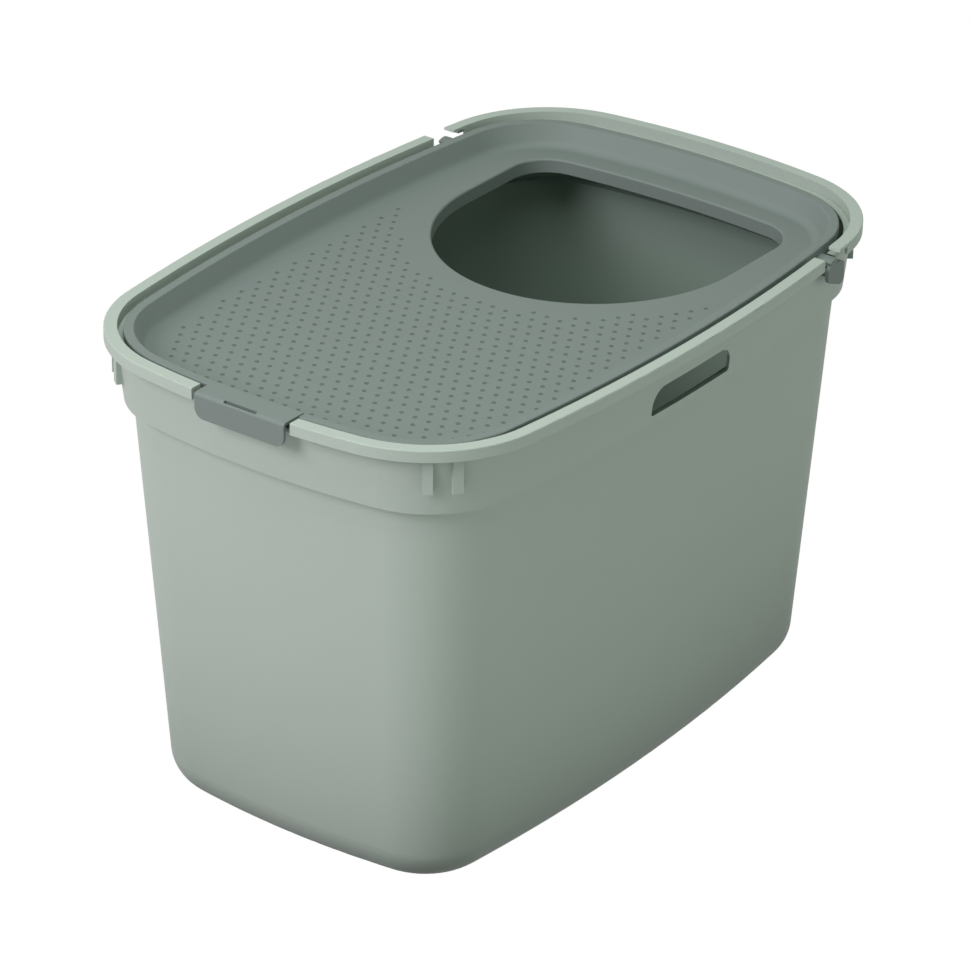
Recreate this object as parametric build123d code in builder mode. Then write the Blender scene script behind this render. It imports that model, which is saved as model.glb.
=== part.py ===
"""Top entry litter box: a tapered tub and a hinged, dished lid with an entry hole.

Millimetres, +Z up. The origin is at the middle of the tub's underside. X runs across
the box and Y along it: the latch is at -Y, the hinge and the entry hole are at +Y.
"""
import os
from math import cos, radians, sin, sqrt

from build123d import *

# ---- overall ---------------------------------------------------------------
overall_length = 590.0
overall_width = 390.0
overall_height = 380.0
tub_sheet = 2.4            # moulded wall of the tub
lid_sheet = 2.4            # moulded wall of the lid
floor_sheet = 3.0

# ---- plan shape: a rounded rectangle with gently bowed sides ---------------
rim_corner_radius = 101.0
side_bow_radius = 1667.0   # of the rim's long edges
end_bow_radius = 685.0     # of the rim's short edges

# ---- tub, from the rim down; an inset is a distance in from the rim's edge and
# ---- a shift moves an outline towards the hinge end
rim_width = 9.8
rim_edge_radius = 0.9
lip_depth = 9.0
ledge_width = 4.6          # from the rim's leg to the ledge's inner edge
band_top_inset = 11.5
band_corner_radius = 75.0
band_foot_drop = 56.0      # from the rim's top
band_foot_side_inset = 16.5
band_foot_end_inset = 14.5
band_foot_shift = 1.5
band_step_drop = 2.0       # the underside of the step falls this much towards the wall
wall_top_side_inset = 22.5
wall_top_end_inset = 23.7
wall_top_corner_radius = 66.6
wall_top_shift = 1.1
floor_side_inset = 44.4
floor_end_inset = 42.4
floor_corner_radius = 57.8
floor_shift = 4.0
floor_edge_radius = 31.5

# ---- hand holes in both long sides -----------------------------------------
hand_hole_length = 98.0
hand_hole_height = 21.5
hand_hole_lift = 6.5       # from the band's foot
hand_hole_top_radius = 14.0
hand_hole_foot_radius = 2.5

# ---- corner gussets under the lip -------------------------------------------
gusset_height = 28.0
gusset_proud = 2.0
gusset_root = 5.4          # it starts this far in from the band's upper edge
gusset_thickness = 7.6
gusset_angles = (38.2, 54.2)   # about the corner's centre, from the long side's normal

# ---- latch ------------------------------------------------------------------
latch_notch_width = 88.0
tab_width = 80.0
tab_drop = 18.6            # from the lid's crest to the tab's lower edge
tab_proud = 0.4            # beyond the rim's edge
tab_corner_radius = 8.0
tab_sheet = 2.4
tab_rise = 0.9             # above the lid's crest
tab_root = 7.0             # the tab's root runs this far in over the crest
tab_bend_radius = 3.0
catch_width = 28.0
catch_height = 3.0
catch_lift = 1.8           # from the tab's lower edge
catch_reach = 1.4
catch_gap = 0.4            # below the shelf
catch_play = 0.3           # between the relaxed catch and the shelf's edge
shelf_width = 60.0
shelf_sheet = 2.4
window_width = 29.0
window_length = 2.6
window_back = 0.9          # behind the tab's outer face

# ---- hinge ------------------------------------------------------------------
pin_end_inset = 114.0      # from the far end of the rim
pin_drop = 19.5            # from the rim's top
hinge_notch_near = 20.0    # from the pin towards the latch
hinge_notch_far = 3.0      # from the pin towards the far end
lip_notch_far = 16.0       # the lip alone is cut back further, to let the ear swing
pin_radius = 4.0
pin_play = 0.08
pin_inner_gap = 2.5        # the pin runs on this far inside the band
knuckle_radius = 9.4
strap_gap = 0.9            # between the strap and the knuckle below it
strap_near_angle = 30.0    # from the vertical above the pin, towards the latch
strap_far_angle = 14.0     # and towards the hinge end
lid_swing = 56.0           # the far corners meet the step inside the tub soon after
slot_margin = 5.0          # degrees that the slot runs on past the strap
ear_thickness = 3.0
ear_inset = 1.95           # from the rim's edge beside the pin
swing_gap = 0.9            # round the strap as it swings
ear_near = 8.5             # from the pin towards the latch
ear_far = 13.0             # from the pin towards the far end
ear_near_drop = 4.5        # below the pin
ear_far_drop = 13.0
ear_rise = 8.5             # above the pin
ear_corner_radius = 5.0

# ---- lid --------------------------------------------------------------------
crest_drop = 1.8           # the lid's crest lies this far below the rim
crest_width = 7.5
crest_side_gap = 6.5       # from the crest to the rim's inner edge, at the sides
crest_near_gap = 5.0
crest_far_gap = 15.2
crest_near_corner_radius = 81.0
crest_far_corner_radius = 76.0
crest_edge_radius = 1.2
plate_drop = 18.7          # the lid's floor lies this far below the rim
cove_width = 8.7
cove_radius = 8.0
seat_gap = 0.3             # between the lid's flange and the ledge that carries it
flange_gap = 1.0           # between the flange and the rim's leg
flange_width = 160.0
flange_length = 9.0
skirt_sheet = 2.0
flange_sheet = 2.3

# ---- entry hole ---------------------------------------------------------------
hole_half_width = 122.5
hole_near_depth = 130.5    # of the half ellipse that ends the hole towards the latch
hole_length = 229.0
hole_end_inset = 64.5      # from the far end of the rim
hole_far_corner_radius = 33.0
hole_bow = 9.0             # of the far edge, between the straight sides
hole_flange_depth = 11.3
hole_edge_radius = 1.6

half_width = overall_width / 2
half_length = overall_length / 2
ledge_height = overall_height - lip_depth
crest_height = overall_height - crest_drop
plate_height = overall_height - plate_drop
skirt_foot_height = ledge_height + seat_gap

ledge_sheet = tub_sheet
band_foot_height = overall_height - band_foot_drop
wall_top_height = band_foot_height - band_step_drop
shoulder_height = band_foot_height + tub_sheet
hand_hole_middle = band_foot_height + hand_hole_lift + hand_hole_height / 2
hinge_y = half_length - pin_end_inset
hinge_z = overall_height - pin_drop
hole_far = half_length - hole_end_inset
hole_near = hole_far - hole_length
hole_shoulder = hole_far - hole_bow


def corner_centre(side, end, radius, side_bow, end_bow):
    """The centre of the corner arc that meets a bowed side and a bowed end smoothly."""
    side_centre = Vector(side - side_bow, 0)
    end_centre = Vector(0, end - end_bow)
    side_reach = side_bow - radius
    end_reach = end_bow - radius
    between = end_centre - side_centre
    forward = between.normalized()
    along = (side_reach**2 - end_reach**2 + between.length**2) / (2 * between.length)
    across = sqrt(side_reach**2 - along**2)
    return side_centre + forward * along + Vector(-forward.Y, forward.X) * across


def corner(side, end, radius, side_bow, end_bow):
    """Start, middle and end of a corner arc."""
    centre = corner_centre(side, end, radius, side_bow, end_bow)
    to_side = (centre - Vector(side - side_bow, 0)).normalized()
    to_end = (centre - Vector(0, end - end_bow)).normalized()
    to_middle = (to_side + to_end).normalized()
    return [centre + direction * radius for direction in (to_side, to_middle, to_end)]


def bowed_outline(side, near, far, near_radius, far_radius, side_bow, end_bow):
    """A closed line of eight arcs: two bowed sides, two bowed ends and four corners."""
    far_side, far_middle, far_end = [
        (point.X, point.Y) for point in corner(side, far, far_radius, side_bow, end_bow)
    ]
    near_side, near_middle, near_end = [
        (point.X, -point.Y) for point in corner(side, near, near_radius, side_bow, end_bow)
    ]

    def left(point):
        return (-point[0], point[1])

    with BuildLine() as edge:
        ThreePointArc(near_side, (side, 0), far_side)
        ThreePointArc(far_side, far_middle, far_end)
        ThreePointArc(far_end, (0, far), left(far_end))
        ThreePointArc(left(far_end), left(far_middle), left(far_side))
        ThreePointArc(left(far_side), (-side, 0), left(near_side))
        ThreePointArc(left(near_side), left(near_middle), left(near_end))
        ThreePointArc(left(near_end), (0, -near), near_end)
        ThreePointArc(near_end, near_middle, near_side)
    return edge.line


def rim_outline(inset):
    """The rim's plan shape, brought in by the inset all round."""
    return bowed_outline(
        half_width - inset,
        half_length - inset,
        half_length - inset,
        rim_corner_radius - inset,
        rim_corner_radius - inset,
        side_bow_radius - inset,
        end_bow_radius - inset,
    )


def tub_outline(side_inset, end_inset, corner_radius, shift, sheet):
    """One level of the tub, brought in by the sheet's thickness for its inside."""
    return bowed_outline(
        half_width - side_inset - sheet,
        half_length - end_inset - shift - sheet,
        half_length - end_inset + shift - sheet,
        corner_radius - sheet,
        corner_radius - sheet,
        side_bow_radius - sheet,
        end_bow_radius - sheet,
    )


def floor_outline(sheet):
    """The tub's underside before its edge is rounded."""
    return tub_outline(
        floor_side_inset, floor_end_inset, floor_corner_radius, floor_shift, sheet
    )


def wall_top_outline(sheet):
    """The top of the tapered wall, under the step."""
    return tub_outline(
        wall_top_side_inset, wall_top_end_inset, wall_top_corner_radius, wall_top_shift, sheet
    )


def band_foot_outline(sheet):
    """The band's lower edge, at the step."""
    return tub_outline(
        band_foot_side_inset, band_foot_end_inset, band_corner_radius, band_foot_shift, sheet
    )


def band_top_outline(sheet):
    """The band's upper edge, under the ledge."""
    return tub_outline(band_top_inset, band_top_inset, band_corner_radius, 0, sheet)


def crest_outline(inset):
    """The plan shape of the lid's crest, brought in by the inset all round."""
    return bowed_outline(
        half_width - rim_width - crest_side_gap - inset,
        half_length - rim_width - crest_near_gap - inset,
        half_length - rim_width - crest_far_gap - inset,
        crest_near_corner_radius - inset,
        crest_far_corner_radius - inset,
        side_bow_radius - inset,
        end_bow_radius - inset,
    )


def hole_outline(grow):
    """The entry hole: half an ellipse towards the latch, a bowed edge towards the hinge."""
    side = hole_half_width + grow
    middle = hole_near + hole_near_depth
    shoulder = hole_shoulder + grow
    with BuildLine() as edge:
        EllipticalCenterArc(
            (0, middle), side, hole_near_depth + grow, start_angle=180, arc_size=180
        )
        Line((side, middle), (side, shoulder))
        ThreePointArc((side, shoulder), (0, hole_far + grow), (-side, shoulder))
        Line((-side, shoulder), (-side, middle))
    return edge.line


def ring_sector(inner_radius, outer_radius, near_angle, far_angle):
    """A sector about the pin's axis; angles are from the vertical, towards each end."""

    def at(radius, angle):
        return (radius * sin(radians(angle)), radius * cos(radians(angle)))

    middle = (far_angle - near_angle) / 2
    with BuildLine() as edge:
        ThreePointArc(
            at(outer_radius, -near_angle), at(outer_radius, middle), at(outer_radius, far_angle)
        )
        Line(at(outer_radius, far_angle), at(inner_radius, far_angle))
        ThreePointArc(
            at(inner_radius, far_angle), at(inner_radius, middle), at(inner_radius, -near_angle)
        )
        Line(at(inner_radius, -near_angle), at(outer_radius, -near_angle))
    return edge.line


hinge_plane = Plane(origin=(0, hinge_y, hinge_z), x_dir=(0, 1, 0), z_dir=(1, 0, 0))
strap_inner_radius = knuckle_radius + strap_gap
strap_outer_radius = strap_inner_radius + lid_sheet
rim_edge_at_pin = half_width - side_bow_radius + sqrt(side_bow_radius**2 - hinge_y**2)
ear_outer_x = rim_edge_at_pin - ear_inset
band_at_pin = rim_edge_at_pin - band_foot_side_inset - tub_sheet

gusset_centre = corner_centre(
    half_width - band_top_inset,
    half_length - band_top_inset,
    band_corner_radius,
    side_bow_radius,
    end_bow_radius,
)
gusset_length = gusset_proud + gusset_root
gusset_radius = band_corner_radius + gusset_proud - gusset_length / 2
plate_inset = crest_width + cove_width
tab_top_height = crest_height + tab_rise
tab_foot_height = crest_height - tab_drop
tab_outer_y = -half_length - tab_proud
tab_inner_y = -half_length + rim_width + crest_near_gap + tab_root
catch_foot_height = tab_foot_height + catch_lift
catch_top_height = catch_foot_height + catch_height
shelf_top_height = catch_top_height + catch_gap + shelf_sheet
shelf_edge_y = tab_outer_y + tab_sheet + catch_reach + catch_play
shelf_back_y = -half_length + band_top_inset + 1.5 * tub_sheet
strap_inner_x = rim_edge_at_pin - rim_width - crest_side_gap - crest_width
pin_inner_x = band_at_pin - tub_sheet - pin_inner_gap
lip_notch_depth = 2 * (half_width - ear_outer_x) + 4 * tub_sheet

# ---- tub ----------------------------------------------------------------------
with BuildPart() as tub_cavity:
    with BuildSketch(Plane.XY.offset(floor_sheet)):
        add(floor_outline(tub_sheet))
        make_face()
    with BuildSketch(Plane.XY.offset(shoulder_height)):
        add(wall_top_outline(tub_sheet))
        make_face()
    loft(ruled=True)
    fillet(tub_cavity.faces().sort_by(Axis.Z)[0].edges(), floor_edge_radius - tub_sheet)

with BuildPart() as tub:
    with BuildSketch(Plane.XY):
        add(floor_outline(0))
        make_face()
    with BuildSketch(Plane.XY.offset(wall_top_height)):
        add(wall_top_outline(0))
        make_face()
    loft(ruled=True)
    fillet(tub.faces().sort_by(Axis.Z)[0].edges(), floor_edge_radius)

    # the step out to the band, the band, the ledge and the rim
    with BuildSketch(Plane.XY.offset(wall_top_height)):
        add(wall_top_outline(0))
        make_face()
    with BuildSketch(Plane.XY.offset(band_foot_height)):
        add(band_foot_outline(0))
        make_face()
    loft(ruled=True)
    with BuildSketch(Plane.XY.offset(band_foot_height)):
        add(band_foot_outline(0))
        make_face()
    with BuildSketch(Plane.XY.offset(ledge_height)):
        add(band_top_outline(0))
        make_face()
    loft(ruled=True)
    with BuildSketch(Plane.XY.offset(ledge_height - ledge_sheet)):
        add(rim_outline(rim_width - tub_sheet))
        make_face()
    extrude(amount=ledge_sheet)
    with BuildSketch(Plane.XY.offset(ledge_height)):
        add(rim_outline(0))
        make_face()
    extrude(amount=lip_depth)
    fillet(tub.faces().sort_by(Axis.Z)[-1].edges(), rim_edge_radius)

    # corner gussets under the lip
    for gusset_angle in gusset_angles:
        for mirror_x in (-1, 1):
            for mirror_y in (-1, 1):
                gusset_middle = gusset_centre + Vector(
                    gusset_radius * cos(radians(gusset_angle)),
                    gusset_radius * sin(radians(gusset_angle)),
                )
                with BuildSketch(Plane.XY.offset(ledge_height - gusset_height)):
                    with Locations(
                        Location(
                            (mirror_x * gusset_middle.X, mirror_y * gusset_middle.Y),
                            mirror_x * mirror_y * gusset_angle,
                        )
                    ):
                        Rectangle(gusset_length, gusset_thickness)
                extrude(amount=gusset_height)

    # the latch shelf
    with BuildSketch(Plane.XY.offset(shelf_top_height - shelf_sheet)):
        with Locations((0, (shelf_edge_y + shelf_back_y) / 2)):
            Rectangle(shelf_width, shelf_back_y - shelf_edge_y)
    extrude(amount=shelf_sheet)

    # the inside
    add(tub_cavity.part, mode=Mode.SUBTRACT)
    with BuildSketch(Plane.XY.offset(shoulder_height)):
        add(band_foot_outline(tub_sheet))
        make_face()
    with BuildSketch(Plane.XY.offset(ledge_height - ledge_sheet)):
        add(band_top_outline(tub_sheet))
        make_face()
    loft(ruled=True, mode=Mode.SUBTRACT)
    with BuildSketch(Plane.XY.offset(ledge_height - ledge_sheet)):
        add(rim_outline(rim_width + ledge_width))
        make_face()
    extrude(amount=ledge_sheet, mode=Mode.SUBTRACT)
    with BuildSketch(Plane.XY.offset(ledge_height)):
        add(rim_outline(rim_width))
        make_face()
    extrude(amount=lip_depth, mode=Mode.SUBTRACT)

    # the hollow under the rim
    with BuildSketch(Plane.XY.offset(ledge_height)):
        add(rim_outline(tub_sheet))
        make_face()
        with BuildSketch(mode=Mode.PRIVATE) as rim_leg:
            add(rim_outline(rim_width - tub_sheet))
            make_face()
        add(rim_leg.sketch, mode=Mode.SUBTRACT)
    extrude(amount=lip_depth - tub_sheet, mode=Mode.SUBTRACT)

    # the hand holes
    with BuildSketch(Plane.YZ):
        with Locations((0, hand_hole_middle)):
            Rectangle(hand_hole_length, hand_hole_height)
        hand_hole_corners = vertices().sort_by(Axis.Y)
        fillet(hand_hole_corners[2:], hand_hole_top_radius)
        fillet(vertices().sort_by(Axis.Y)[:2], hand_hole_foot_radius)
    extrude(amount=half_width, both=True, mode=Mode.SUBTRACT)

    # the latch notch and the hinge notches in the rim
    with BuildSketch(Plane.XY.offset(ledge_height)):
        with Locations((0, -half_length)):
            Rectangle(latch_notch_width, 4 * rim_width)
        for side in (-1, 1):
            with Locations((side * half_width, hinge_y + (hinge_notch_far - hinge_notch_near) / 2)):
                Rectangle(6 * rim_width, hinge_notch_near + hinge_notch_far)
    extrude(amount=2 * lip_depth, mode=Mode.SUBTRACT)
    with BuildSketch(Plane.XY.offset(ledge_height)):
        for side in (-1, 1):
            with Locations(
                (
                    side * (ear_outer_x + tub_sheet * 2),
                    hinge_y + (lip_notch_far - hinge_notch_near) / 2,
                )
            ):
                Rectangle(lip_notch_depth, hinge_notch_near + lip_notch_far)
    extrude(amount=lip_depth - tub_sheet, mode=Mode.SUBTRACT)

    # room for the strap to swing, and the pin holes
    with BuildSketch(hinge_plane):
        add(
            ring_sector(
                knuckle_radius,
                strap_outer_radius + swing_gap,
                strap_near_angle + slot_margin,
                strap_far_angle + lid_swing + slot_margin,
            )
        )
        make_face()
    extrude(amount=half_width, both=True, mode=Mode.SUBTRACT)
    with BuildSketch(hinge_plane):
        Circle(pin_radius + pin_play)
    extrude(amount=half_width, both=True, mode=Mode.SUBTRACT)

tub.part.label = "tub"

# ---- lid ----------------------------------------------------------------------
with BuildPart() as lid:
    # the crest with its skirt, and the cove that drops to the plate
    with BuildSketch(Plane.XY.offset(skirt_foot_height)):
        add(crest_outline(0))
        make_face()
    extrude(amount=crest_height - skirt_foot_height)
    with BuildSketch(Plane.XY.offset(plate_height - lid_sheet)):
        add(crest_outline(plate_inset - lid_sheet))
        make_face()
    with BuildSketch(Plane.XY.offset(crest_height - lid_sheet)):
        add(crest_outline(crest_width - lid_sheet))
        make_face()
    loft(ruled=True)
    with BuildSketch(Plane.XY.offset(plate_height)):
        add(crest_outline(plate_inset))
        make_face()
    with BuildSketch(Plane.XY.offset(crest_height)):
        add(crest_outline(crest_width))
        make_face()
    loft(ruled=True, mode=Mode.SUBTRACT)
    cove_foot = lid.faces().filter_by(Axis.Z).filter_by(
        lambda face: abs(face.center().Z - plate_height) < 0.01
    )
    fillet(cove_foot.edges(), cove_radius)
    crest_top = lid.faces().filter_by(Axis.Z).sort_by(Axis.Z)[-1]
    fillet(crest_top.edges(), crest_edge_radius)

    # the channel under the crest
    with BuildSketch(Plane.XY.offset(skirt_foot_height)):
        add(crest_outline(skirt_sheet))
        make_face()
        with BuildSketch(mode=Mode.PRIVATE) as cove_top:
            add(crest_outline(crest_width - skirt_sheet))
            make_face()
        add(cove_top.sketch, mode=Mode.SUBTRACT)
    extrude(amount=crest_height - lid_sheet - skirt_foot_height, mode=Mode.SUBTRACT)

    # the entry hole, with its hanging flange
    with BuildSketch(Plane.XY.offset(plate_height - hole_flange_depth)):
        add(hole_outline(lid_sheet))
        make_face()
        fillet(vertices().sort_by(Axis.Y)[-2:], hole_far_corner_radius + lid_sheet)
    extrude(amount=hole_flange_depth - lid_sheet / 2)
    with BuildSketch(Plane.XY.offset(plate_height - 2 * hole_flange_depth)):
        add(hole_outline(0))
        make_face()
        fillet(vertices().sort_by(Axis.Y)[-2:], hole_far_corner_radius)
    extrude(amount=3 * hole_flange_depth, mode=Mode.SUBTRACT)
    hole_rim = [
        edge
        for edge in lid.faces().filter_by(lambda face: abs(face.center().Z - plate_height) < 0.01)
        .filter_by(Axis.Z)[0]
        .inner_wires()[0]
        .edges()
    ]
    fillet(hole_rim, hole_edge_radius)

    # the flange that rests on the tub's ledge beside the latch
    with BuildSketch(Plane.XY.offset(skirt_foot_height)):
        add(rim_outline(rim_width + flange_gap))
        make_face()
        with Locations((0, -half_length + rim_width + flange_length / 2)):
            Rectangle(flange_width, flange_length, mode=Mode.INTERSECT)
    extrude(amount=flange_sheet)

    # the latch tab
    with BuildSketch(Plane.YZ):
        with BuildLine():
            Polyline(
                (tab_inner_y, tab_top_height),
                (tab_outer_y, tab_top_height),
                (tab_outer_y, tab_foot_height),
                (tab_outer_y + tab_sheet, tab_foot_height),
                (tab_outer_y + tab_sheet, tab_top_height - tab_sheet),
                (tab_inner_y, tab_top_height - tab_sheet),
                (tab_inner_y, tab_top_height),
            )
        make_face()
        outer_bend = vertices().sort_by(Axis.X)[:2].sort_by(Axis.Y)[-1]
        fillet(outer_bend, tab_bend_radius)
    extrude(amount=tab_width / 2, both=True)
    tab_feet = (
        lid.edges()
        .filter_by(Axis.Y)
        .filter_by(lambda edge: abs(edge.center().Z - tab_foot_height) < 0.01)
    )
    fillet(tab_feet, tab_corner_radius)
    with BuildSketch(Plane.XY.offset(tab_top_height - 2 * tab_sheet)):
        with Locations((0, tab_outer_y + window_back + window_length / 2)):
            Rectangle(window_width, window_length)
    extrude(amount=3 * tab_sheet, mode=Mode.SUBTRACT)
    with BuildSketch(Plane.XY.offset(catch_foot_height)):
        with Locations((0, tab_outer_y + (tab_sheet + catch_reach) / 2)):
            Rectangle(catch_width, tab_sheet + catch_reach)
    extrude(amount=catch_height)

    # the hinge straps, ears and pins
    for side in (-1, 1):
        with BuildSketch(hinge_plane.offset(side * strap_inner_x)):
            add(
                ring_sector(
                    strap_inner_radius, strap_outer_radius, strap_near_angle, strap_far_angle
                )
            )
            make_face()
        extrude(amount=side * (ear_outer_x - strap_inner_x))
        with BuildSketch(hinge_plane.offset(side * ear_outer_x)):
            with BuildLine():
                Polyline(
                    (-ear_near, ear_rise),
                    (ear_far, ear_rise),
                    (ear_far, -ear_far_drop),
                    (-ear_near, -ear_near_drop),
                    (-ear_near, ear_rise),
                )
            make_face()
            fillet(vertices(), ear_corner_radius)
            add(ring_sector(1.0, strap_outer_radius, strap_near_angle, strap_far_angle))
            make_face()
        extrude(amount=-side * ear_thickness)
        with BuildSketch(hinge_plane.offset(side * (ear_outer_x - ear_thickness / 2))):
            Circle(pin_radius)
        extrude(amount=-side * (ear_outer_x - ear_thickness / 2 - pin_inner_x))
lid.part.label = "lid"

os.makedirs("parts", exist_ok=True)
export_step(tub.part, "parts/tub.step")
export_step(lid.part, "parts/lid.step")
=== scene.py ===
# %% [markdown]
# # Top entry litter box
#
# Two polypropylene mouldings: a tapered tub and a dished lid that turns on pins near
# its entry hole. The frame gives both solids. This script adds the tread on the lid,
# gives every piece the finish of an injection moulding, and lights the whole.

import math

import bmesh
import bpy
from mathutils import Matrix, Vector


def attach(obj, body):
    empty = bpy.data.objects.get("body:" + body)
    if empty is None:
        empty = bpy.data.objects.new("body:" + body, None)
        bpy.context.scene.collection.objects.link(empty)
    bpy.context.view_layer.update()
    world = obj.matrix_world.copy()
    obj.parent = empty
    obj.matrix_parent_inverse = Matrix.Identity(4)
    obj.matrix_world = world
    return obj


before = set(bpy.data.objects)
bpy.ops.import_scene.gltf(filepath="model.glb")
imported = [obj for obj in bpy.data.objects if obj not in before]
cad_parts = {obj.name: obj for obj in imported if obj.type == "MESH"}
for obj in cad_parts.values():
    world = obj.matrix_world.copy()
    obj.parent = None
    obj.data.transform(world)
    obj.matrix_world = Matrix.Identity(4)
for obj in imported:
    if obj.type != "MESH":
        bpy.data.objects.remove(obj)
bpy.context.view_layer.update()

# %% [markdown]
# ## Small helpers
#
# Colours are written as sRGB hex, the way a colour picker gives them, and shaders
# want linear light, so one function turns them. A second adds a node, sets it and
# links it in one call, which keeps each material as short as a recipe. It finds an input
# by its name, or by its number where names repeat: `_0` is the first. The other two make
# an empty material, and tell which rays a shader is answering.

# %% Helpers


def linear(hex_colour):
    """An sRGB hex colour as linear RGBA."""
    channels = [int(hex_colour[i : i + 2], 16) / 255 for i in (1, 3, 5)]
    return [
        c / 12.92 if c <= 0.04045 else ((c + 0.055) / 1.055) ** 2.4 for c in channels
    ] + [1.0]


def add_node(tree, kind, settings=None, **links):
    """Adds a node, sets its properties or sockets, and links its inputs."""
    node = tree.nodes.new(kind)
    for name, value in (settings or {}).items():
        if isinstance(name, str) and hasattr(node, name):
            setattr(node, name, value)
        else:
            node.inputs[name].default_value = value
    for name, source in links.items():
        numbered = name[0] == "_"
        socket = int(name[1:]) if numbered else name.replace("_", " ")
        tree.links.new(source, node.inputs[socket])
    return node


def new_material(name):
    """An empty node material and its tree."""
    material = bpy.data.materials.new(name)
    material.use_nodes = True
    material.node_tree.nodes.clear()
    return material, material.node_tree


def is_any_ray(tree, *kinds):
    """A socket that is 1 for a ray of any of these kinds, such as Camera, or else 0."""
    path = add_node(tree, "ShaderNodeLightPath")
    found, *others = [path.outputs[f"Is {kind} Ray"] for kind in kinds]
    for other in others:
        both = add_node(
            tree, "ShaderNodeMath", {"operation": "MAXIMUM"}, _0=found, _1=other
        )
        found = both.outputs[0]
    return found


# %% [markdown]
# ## The camera
#
# A long lens from a little above, turned towards the latch end and the right side.
# Its place is worked out from an azimuth, an elevation and a small roll about the
# line of sight.

# %% Camera
LENS_PIXELS = 4878.67
FRAME_PIXELS = 971
SENSOR_MM = 36.0
AZIMUTH = math.radians(36.3486)
ELEVATION = math.radians(27.4583)
ROLL = math.radians(0.9169)
DISTANCE = 3.6824
TARGET_SHIFT = (-0.0032746, 0.0069856)
TARGET_HEIGHT = 0.190

towards_camera = Vector(
    (
        math.sin(AZIMUTH) * math.cos(ELEVATION),
        -math.cos(AZIMUTH) * math.cos(ELEVATION),
        math.sin(ELEVATION),
    )
)
level_right = Vector((math.cos(AZIMUTH), math.sin(AZIMUTH), 0.0))
level_up = towards_camera.cross(level_right)
right = level_right * math.cos(ROLL) + level_up * math.sin(ROLL)
up = level_up * math.cos(ROLL) - level_right * math.sin(ROLL)
camera_place = (
    towards_camera * DISTANCE
    + level_right * TARGET_SHIFT[0]
    + level_up * TARGET_SHIFT[1]
    + Vector((0, 0, TARGET_HEIGHT))
)
camera_data = bpy.data.cameras.new("camera")
camera_data.sensor_width = SENSOR_MM
camera_data.lens = LENS_PIXELS * SENSOR_MM / FRAME_PIXELS
camera = bpy.data.objects.new("camera", camera_data)
camera.matrix_world = Matrix.Translation(camera_place) @ Matrix(
    (right, up, towards_camera)
).transposed().to_4x4()
bpy.context.collection.objects.link(camera)
bpy.context.scene.camera = camera
print("lens %.1f mm from %.2f m" % (camera_data.lens, DISTANCE))

# %% [markdown]
# ## Light
#
# Soft studio light. A dim, even world fills every side. One large lamp from the
# camera's left gives the latch end its brightness and leaves the long right side in half
# shade. A smaller one above the latch end lights the lid, and a weak low one keeps the
# right side from going flat without reaching in through the entry hole. The fill is a
# touch green and the key a touch pink, which keeps the bright end neutral. The view
# transform is Standard, so colours come out as they are written.

# %% World
WHITE = "#FFFFFF"
FILL_COLOUR = "#F3FFF4"
FILL_STRENGTH = 0.28
WHITE_TO_RAYS = ("Camera", "Glossy", "Transmission")  # these see the backdrop as white

scene = bpy.context.scene
scene.view_settings.view_transform = "Standard"
world = bpy.data.worlds.new("studio")
scene.world = world
world.use_nodes = True
tree = world.node_tree
tree.nodes.clear()
fill = add_node(
    tree,
    "ShaderNodeBackground",
    {"Color": linear(FILL_COLOUR), "Strength": FILL_STRENGTH},
)
white = add_node(
    tree, "ShaderNodeBackground", {"Color": linear(WHITE), "Strength": 1.0}
)
either = add_node(
    tree,
    "ShaderNodeMixShader",
    _0=is_any_ray(tree, *WHITE_TO_RAYS),
    _1=fill.outputs[0],
    _2=white.outputs[0],
)
add_node(tree, "ShaderNodeOutputWorld", Surface=either.outputs[0])
print("world:", world.name)

# %% [markdown]
# Each lamp is a square softbox, turned to the middle of the box.

# %% Lamps
BOX_MIDDLE = (0.0, 0.0, 0.2)


def soft_lamp(name, place, size, watts, colour):
    """A square area lamp at a place, aimed at the middle of the box."""
    data = bpy.data.lights.new(name, "AREA")
    data.shape = "SQUARE"
    data.size = size
    data.energy = watts
    data.color = linear(colour)[:3]
    lamp = bpy.data.objects.new(name, data)
    lamp.location = place
    aim = Vector(BOX_MIDDLE) - Vector(place)
    lamp.rotation_euler = aim.to_track_quat("-Z", "Y").to_euler()
    bpy.context.collection.objects.link(lamp)


soft_lamp("key_lamp", (-0.9, -2.4, 1.9), 1.4, 57.0, "#FEF7FF")
soft_lamp("top_lamp", (0.15, -0.4, 1.5), 0.8, 9.2, "#F8FFF9")
soft_lamp("side_lamp", (2.4, 0.2, 0.75), 1.0, 5.5, "#F3FFF4")

# %% [markdown]
# ## The floor
#
# A white paper sweep. To the camera, and in whatever mirrors it or lets it through, it is
# plain white. To every other ray it is matt paper that throws light back up at the walls,
# with painted shade round the foot of the box: the paper's colour is darkened there in
# place of the floor's shadow, so that the walls fall off towards the floor instead of
# glowing there.

# %% Floor
FLOOR_HALF = 6.0
FLOOR_DROP = 0.0002  # keeps the floor clear of the box's flat underside

floor_shape = bmesh.new()
bmesh.ops.create_grid(floor_shape, x_segments=1, y_segments=1, size=FLOOR_HALF)
floor_mesh = bpy.data.meshes.new("floor")
floor_shape.to_mesh(floor_mesh)
floor_shape.free()
floor = bpy.data.objects.new("floor", floor_mesh)
bpy.context.collection.objects.link(floor)
floor.location.z = -FLOOR_DROP
print("floor faces:", len(floor_mesh.polygons))
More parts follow.
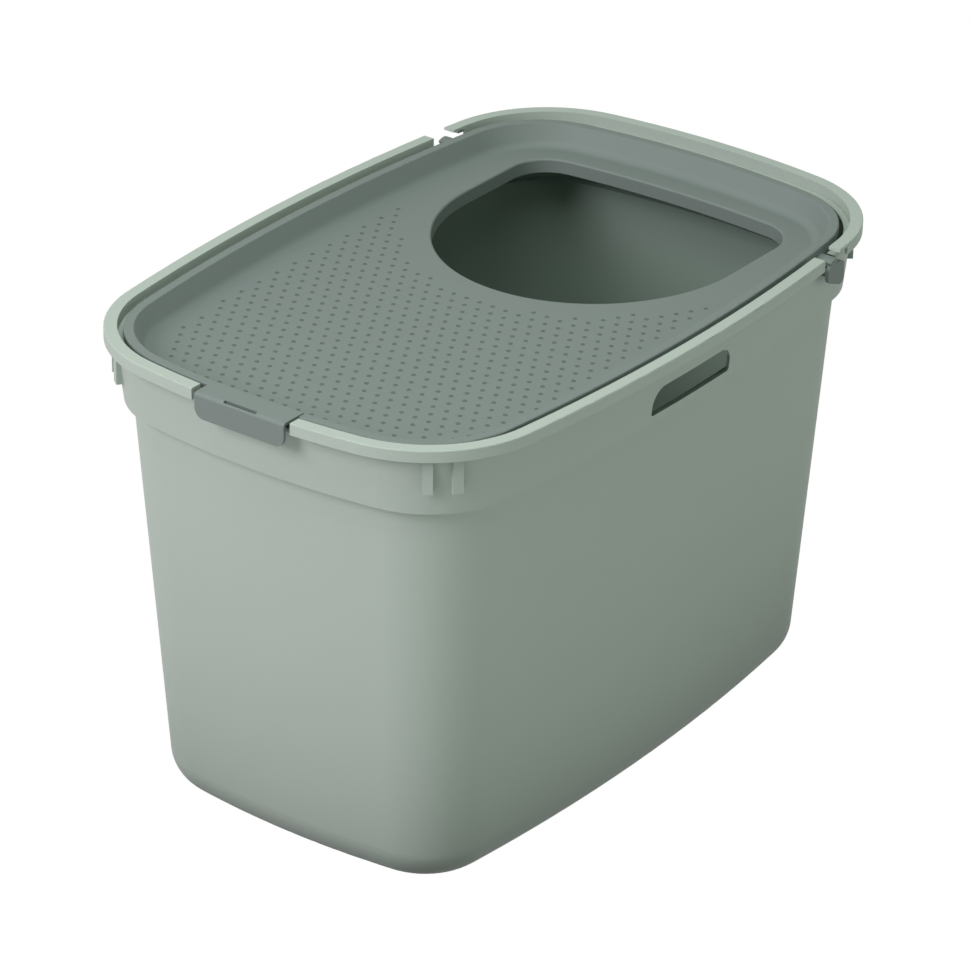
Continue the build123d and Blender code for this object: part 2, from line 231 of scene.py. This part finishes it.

# %% [markdown]
# The paper's colour is found from how far a point lies from the foot of the box. It is
# the painted shade's inside the foot and the paper's beyond the fade.

# %% Paper and painted shade
# The card is painted shade: a darker floor colour for bounced light round the foot,
# standing in for the floor's shadow there.
FOOT_HALF_SIZES = (0.15, 0.25, 0.0)  # the foot of the box
FOOT_SHADE_FADE = 0.30  # how far from the foot the card has given way to paper
FOOT_SHADE_COLOUR = "#3C3C3C"
PAPER_COLOUR = "#EDEDED"

paper, tree = new_material("white_paper_sweep")
place = add_node(tree, "ShaderNodeTexCoord")
mirrored_place = add_node(
    tree, "ShaderNodeVectorMath", {"operation": "ABSOLUTE"}, _0=place.outputs["Object"]
)
beyond_foot = add_node(
    tree,
    "ShaderNodeVectorMath",
    {"operation": "SUBTRACT", 1: FOOT_HALF_SIZES},
    _0=mirrored_place.outputs[0],
)
outside_foot = add_node(
    tree, "ShaderNodeVectorMath", {"operation": "MAXIMUM"}, _0=beyond_foot.outputs[0]
)
distance = add_node(
    tree, "ShaderNodeVectorMath", {"operation": "LENGTH"}, _0=outside_foot.outputs[0]
)
fade = add_node(
    tree,
    "ShaderNodeMapRange",
    {"interpolation_type": "SMOOTHSTEP", "From Max": FOOT_SHADE_FADE},
    Value=distance.outputs["Value"],
)
painted_shade_to_paper = add_node(
    tree,
    "ShaderNodeMix",
    {"data_type": "RGBA", 6: linear(FOOT_SHADE_COLOUR), 7: linear(PAPER_COLOUR)},
    _0=fade.outputs[0],
)
matt = add_node(tree, "ShaderNodeBsdfDiffuse", Color=painted_shade_to_paper.outputs[2])
glow = add_node(
    tree, "ShaderNodeEmission", {"Color": linear(WHITE), "Strength": 1.0}
)
mix = add_node(
    tree,
    "ShaderNodeMixShader",
    _0=is_any_ray(tree, *WHITE_TO_RAYS),
    _1=matt.outputs[0],
    _2=glow.outputs[0],
)
add_node(tree, "ShaderNodeOutputMaterial", Surface=mix.outputs[0])
floor_mesh.materials.append(paper)
print("floor material:", paper.name)

# %% [markdown]
# ## Inside the tub
#
# The inside of the tub is painted darker: painted shade, standing in for the shade that
# fills the tub.
# A surface belongs to the inside where it lies under the ledge and its normal points
# back towards the middle of the box, or up, as the floor's does. One dot product tells
# both: that of the normal with the way out from the middle, which is tipped a little
# downwards.

# %% Inside the tub
LEDGE_HEIGHT = 0.3695  # the tub's rim and ledge stand above this
DOWNWARD_TIP = 0.1  # lets a surface that faces up count as inside
FACES_IN_BELOW = -0.01


def inside_painted_shade_mask(tree, place):
    """A socket that is 1 on the tub's inner surfaces, which get painted shade, and 0
    elsewhere.
    """
    way_out = add_node(
        tree,
        "ShaderNodeVectorMath",
        {"operation": "MULTIPLY_ADD", 1: (1.0, 1.0, 0.0), 2: (0.0, 0.0, -DOWNWARD_TIP)},
        _0=place,
    )
    surface = add_node(tree, "ShaderNodeNewGeometry")
    outwards = add_node(
        tree,
        "ShaderNodeVectorMath",
        {"operation": "DOT_PRODUCT"},
        _0=way_out.outputs[0],
        _1=surface.outputs["True Normal"],
    )
    faces_in = add_node(
        tree,
        "ShaderNodeMath",
        {"operation": "LESS_THAN", 1: FACES_IN_BELOW},
        _0=outwards.outputs["Value"],
    )
    height = add_node(tree, "ShaderNodeSeparateXYZ", _0=place)
    below_ledge = add_node(
        tree,
        "ShaderNodeMath",
        {"operation": "LESS_THAN", 1: LEDGE_HEIGHT},
        _0=height.outputs["Z"],
    )
    inside_painted_shade = add_node(
        tree,
        "ShaderNodeMath",
        {"operation": "MULTIPLY"},
        _0=faces_in.outputs[0],
        _1=below_ledge.outputs[0],
    )
    return inside_painted_shade.outputs[0]


print("the inside lies under", LEDGE_HEIGHT, "m")

# %% [markdown]
# ## Polypropylene
#
# Both pieces are injection moulded polypropylene from a spark-eroded tool: a fine matt
# grain, a soft broad sheen, and a slightly uneven colour where the melt flowed. The
# grain is far finer than a pixel, so it is drawn a little coarser than real.

# %% Moulded finish
GRAIN_MM = 0.9
GRAIN_DETAIL = 2.0
GRAIN_HEIGHT = 0.00006
GRAIN_STRENGTH = 0.25
FLOW_MM = 160.0
FLOW_DETAIL = 3.0
POLYPROPYLENE = {"Roughness": 0.6, "IOR": 1.49, "Specular IOR Level": 0.35}


def moulded_polypropylene(name, colour, flow_colour, inside_painted_shade=None):
    """Matt moulded polypropylene, with painted shade in a colour of its own inside if one
    is given.
    """
    material, tree = new_material(name)
    place = add_node(tree, "ShaderNodeTexCoord").outputs["Object"]
    flow = add_node(
        tree,
        "ShaderNodeTexNoise",
        {"Scale": 1000.0 / FLOW_MM, "Detail": FLOW_DETAIL},
        Vector=place,
    )
    tint = add_node(
        tree,
        "ShaderNodeMix",
        {"data_type": "RGBA", 6: linear(colour), 7: linear(flow_colour)},
        _0=flow.outputs[0],
    )
    if inside_painted_shade:
        tint = add_node(
            tree,
            "ShaderNodeMix",
            {"data_type": "RGBA", 7: linear(inside_painted_shade)},
            _0=inside_painted_shade_mask(tree, place),
            _6=tint.outputs[2],
        )
    grain = add_node(
        tree,
        "ShaderNodeTexNoise",
        {"Scale": 1000.0 / GRAIN_MM, "Detail": GRAIN_DETAIL},
        Vector=place,
    )
    relief = add_node(
        tree,
        "ShaderNodeBump",
        {"Strength": GRAIN_STRENGTH, "Distance": GRAIN_HEIGHT},
        Height=grain.outputs[0],
    )
    skin = add_node(
        tree,
        "ShaderNodeBsdfPrincipled",
        POLYPROPYLENE,
        Base_Color=tint.outputs[2],
        Normal=relief.outputs[0],
    )
    add_node(tree, "ShaderNodeOutputMaterial", Surface=skin.outputs[0])
    return material


# The tub's inside colour is painted shade, darker than its outside.
tub_plastic = moulded_polypropylene(
    "pale_green_grey_polypropylene", "#A5B0A7", "#A8B3AA", inside_painted_shade="#7C8D82"
)
lid_plastic = moulded_polypropylene("green_grey_polypropylene", "#6D7773", "#717B77")
for node, material in (("tub", tub_plastic), ("lid", lid_plastic)):
    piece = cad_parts[node]
    for slot in piece.material_slots:
        slot.material = material
    print(node, "faces", len(piece.data.polygons))

# %% [markdown]
# ## The tread
#
# The lid's floor carries hundreds of small round cups that give a cat's paws some grip.
# They stand in staggered rows, and stop short of the cove round the lid and of the
# entry hole. The field's long sides bow with the lid's, and its two corners by the latch
# are round.

# %% Where the cups stand
MM = 0.001
CUP_PITCH = 11.88 * MM
CUP_ROW = 10.5 * MM
FIELD_HALF_WIDTH = 148.5 * MM
FIELD_BOW_RADIUS = 1667.0 * MM
FIELD_NEAR = -250.0 * MM
FIELD_CORNER = 50.8 * MM
FIRST_ROW = -244.5 * MM
LAST_ROW = 80.0 * MM
COLUMNS_EACH_SIDE = 14
HOLE_MIDDLE = 132.0 * MM
HOLE_CLEAR_HALF_WIDTH = 144.5 * MM
HOLE_CLEAR_HALF_LENGTH = 152.5 * MM


def on_tread(x, y):
    """True where a cup fits between the cove and the entry hole."""
    side = FIELD_HALF_WIDTH - y**2 / (2 * FIELD_BOW_RADIUS)
    past_side = abs(x) - (side - FIELD_CORNER)
    past_near = (FIELD_NEAR + FIELD_CORNER) - y
    in_corner = past_side > 0 and past_near > 0
    off_corner = in_corner and math.hypot(past_side, past_near) > FIELD_CORNER
    to_hole = math.hypot(
        x / HOLE_CLEAR_HALF_WIDTH, (y - HOLE_MIDDLE) / HOLE_CLEAR_HALF_LENGTH
    )
    return abs(x) <= side and not off_corner and to_hole > 1


rows = range(int((LAST_ROW - FIRST_ROW) / CUP_ROW) + 1)
columns = range(-COLUMNS_EACH_SIDE, COLUMNS_EACH_SIDE + 1)
staggered_places = [
    ((column + row % 2 / 2) * CUP_PITCH, FIRST_ROW + row * CUP_ROW)
    for row in rows
    for column in columns
]
cup_places = [place for place in staggered_places if on_tread(*place)]
print("cups:", len(cup_places))

# %% [markdown]
# Each cup is a low closed disc, made by the cone operator with its lower face sunk just
# into the lid. Its top is then inset, which leaves a lip, and pushed down. Twelve sides
# are enough at this size. The cups catch some real shade in their dishes, and their
# plastic is darker than the lid's as well: that is painted shade.

# %% The cups
LID_FLOOR_HEIGHT = 361.3 * MM
CUP_RADIUS = 1.9 * MM
CUP_SUNK = 0.15 * MM
CUP_PROUD = 0.2 * MM
CUP_LIP = 0.35 * MM
CUP_DEPTH = 0.17 * MM
CUP_SIDES = 12
FACES_UP = 0.99  # the least height of a top's normal

cups = bmesh.new()
cup_middle = LID_FLOOR_HEIGHT + (CUP_PROUD - CUP_SUNK) / 2
for x, y in cup_places:
    bmesh.ops.create_cone(
        cups,
        cap_ends=True,
        segments=CUP_SIDES,
        radius1=CUP_RADIUS,
        radius2=CUP_RADIUS - CUP_PROUD,
        depth=CUP_PROUD + CUP_SUNK,
        matrix=Matrix.Translation((x, y, cup_middle)),
    )
cups.normal_update()
tops = [face for face in cups.faces if face.normal.z > FACES_UP]
bmesh.ops.inset_individual(cups, faces=tops, thickness=CUP_LIP, depth=-CUP_DEPTH)
cup_mesh = bpy.data.meshes.new("lid_tread")
cups.to_mesh(cup_mesh)
cups.free()
# The tread's darker colour is painted shade for the dimples.
cup_mesh.materials.append(
    moulded_polypropylene("tread_polypropylene_in_painted_shade", "#505B56", "#545F5A")
)
lid_tread = bpy.data.objects.new("lid_tread", cup_mesh)
bpy.context.collection.objects.link(lid_tread)
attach(lid_tread, "lid")
print("tread faces:", len(cup_mesh.polygons))
